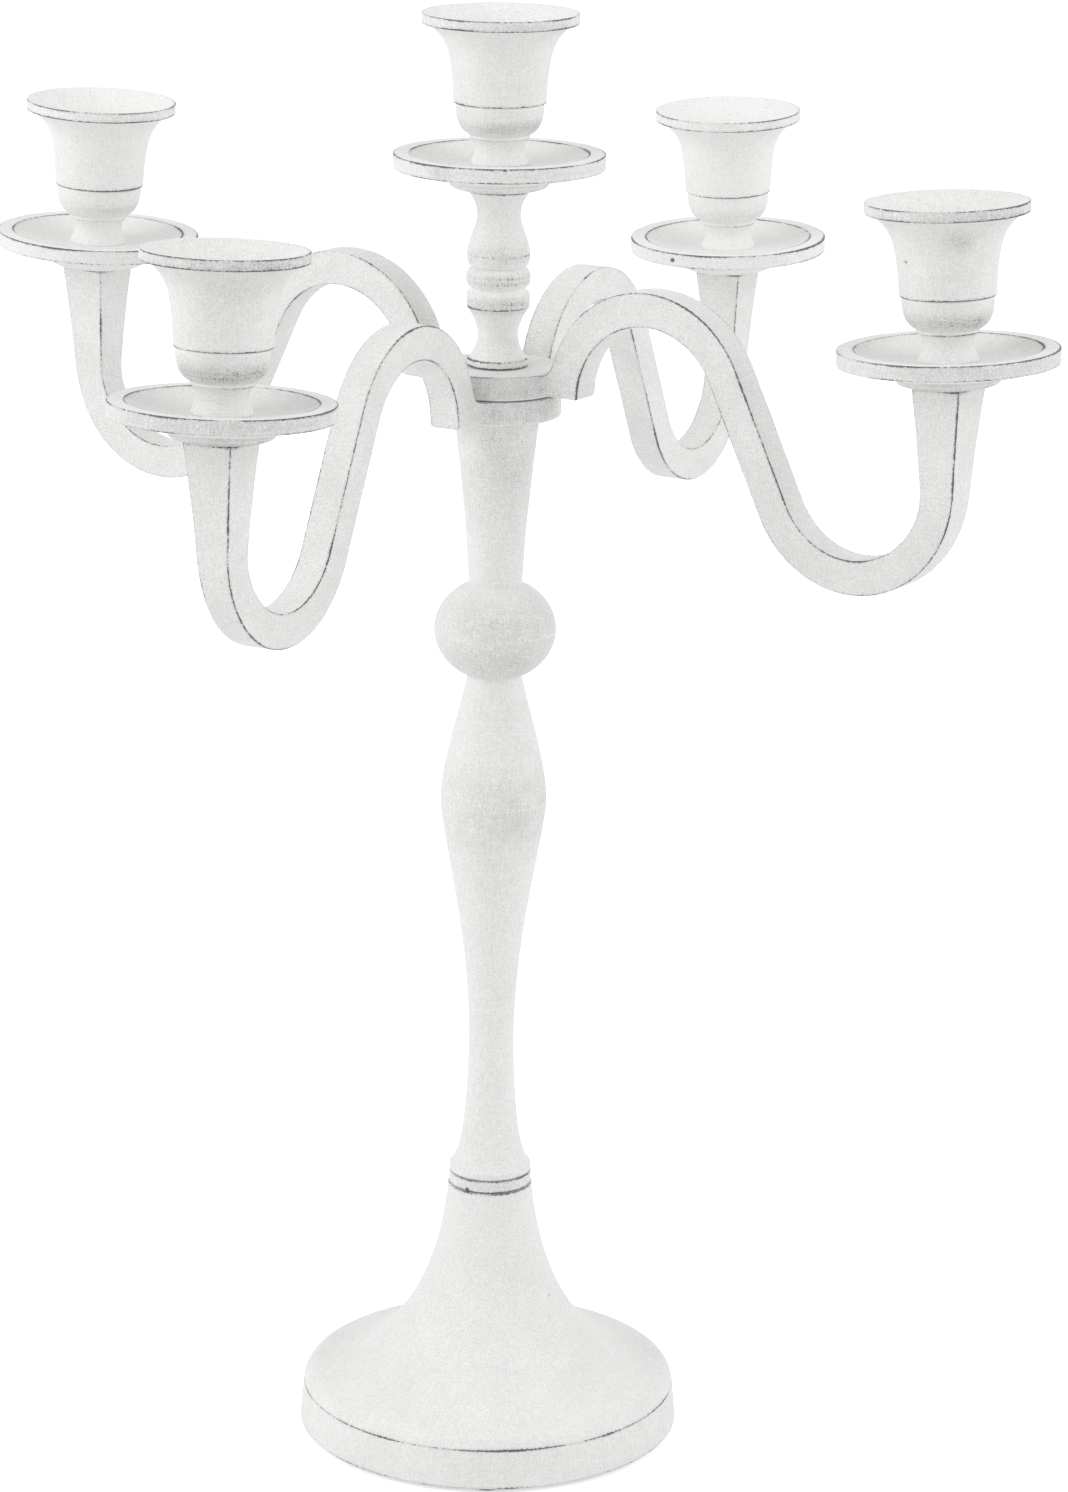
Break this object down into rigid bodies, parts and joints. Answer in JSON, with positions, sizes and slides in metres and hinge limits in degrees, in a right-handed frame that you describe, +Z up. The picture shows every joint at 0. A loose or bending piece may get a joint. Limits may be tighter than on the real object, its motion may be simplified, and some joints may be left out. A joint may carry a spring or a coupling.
{
  "type": "candelabra",
  "caption": "White distressed candelabra: bell foot, turned stem with a ball, swivelling S-curved arms and a raised centre light, each with a drip plate and a flared candle cup.",
  "frame": {"origin": "on the stem's axis, on the surface that the pads stand on", "axes": "+Z up along the stem; -Y towards the side that the picture shows, +X to its right"},
  "size_m": [0.2846, 0.3002, 0.4011],
  "materials": {
    "white_paint": "matt white paint over cast aluminium, rubbed through on the edges",
    "zinc_steel": "zinc-plated",
    "pad_rubber": "matt"
  },
  "bodies": {
    "stand": {"bell_foot": "white_paint", "foot_pad_1": "pad_rubber", "foot_pad_2": "pad_rubber", "foot_pad_3": "pad_rubber", "collar_ring": "white_paint", "lower_stem": "white_paint", "stem_ball": "white_paint", "upper_stem": "white_paint", "tie_rod": "zinc_steel", "tie_rod_washer": "zinc_steel", "tie_rod_nut": "zinc_steel"},
    "lower_arms": {"lower_cross_arm": "white_paint"},
    "upper_arms": {"upper_cross_arm": "white_paint"},
    "finial": {"finial": "white_paint"},
    "light_centre": {"drip_plate_centre": "white_paint", "candle_cup_centre": "white_paint", "cup_screw_centre": "zinc_steel"},
    "light_front_left": {"drip_plate_front_left": "white_paint", "candle_cup_front_left": "white_paint", "cup_screw_front_left": "zinc_steel"},
    "light_back_right": {"drip_plate_back_right": "white_paint", "candle_cup_back_right": "white_paint", "cup_screw_back_right": "zinc_steel"},
    "light_front_right": {"drip_plate_front_right": "white_paint", "candle_cup_front_right": "white_paint", "cup_screw_front_right": "zinc_steel"},
    "light_back_left": {"drip_plate_back_left": "white_paint", "candle_cup_back_left": "white_paint", "cup_screw_back_left": "zinc_steel"}
  },
  "joints": [
    {"name": "lower_arms_swivel", "type": "hinge", "parent": "stand", "child": "lower_arms", "pos_m": [0, 0, 0.29297], "axis": [0, 0, 1], "continuous": true},
    {"name": "upper_arms_swivel", "type": "hinge", "parent": "lower_arms", "child": "upper_arms", "pos_m": [0, 0, 0.29977], "axis": [0, 0, 1], "range_deg": [-50, 60]},
    {"name": "finial_screw", "type": "hinge", "parent": "stand", "child": "finial", "pos_m": [0, 0, 0.30657], "axis": [0, 0, 1], "continuous": true},
    {"name": "cup_turn_centre", "type": "hinge", "parent": "finial", "child": "light_centre", "pos_m": [0, 0, 0.35407], "axis": [0, 0, 1], "continuous": true},
    {"name": "cup_turn_front_left", "type": "hinge", "parent": "lower_arms", "child": "light_front_left", "pos_m": [-0.06736, -0.12203, 0.31142], "axis": [0.0236, 0.0428, 0.9988], "continuous": true},
    {"name": "cup_turn_back_right", "type": "hinge", "parent": "lower_arms", "child": "light_back_right", "pos_m": [0.06736, 0.12203, 0.31142], "axis": [-0.0236, -0.0428, 0.9988], "continuous": true},
    {"name": "cup_turn_front_right", "type": "hinge", "parent": "upper_arms", "child": "light_front_right", "pos_m": [0.11418, -0.07995, 0.31822], "axis": [-0.04, 0.028, 0.9988], "continuous": true},
    {"name": "cup_turn_back_left", "type": "hinge", "parent": "upper_arms", "child": "light_back_left", "pos_m": [-0.11418, 0.07995, 0.31822], "axis": [0.04, -0.028, 0.9988], "continuous": true}
  ]
}
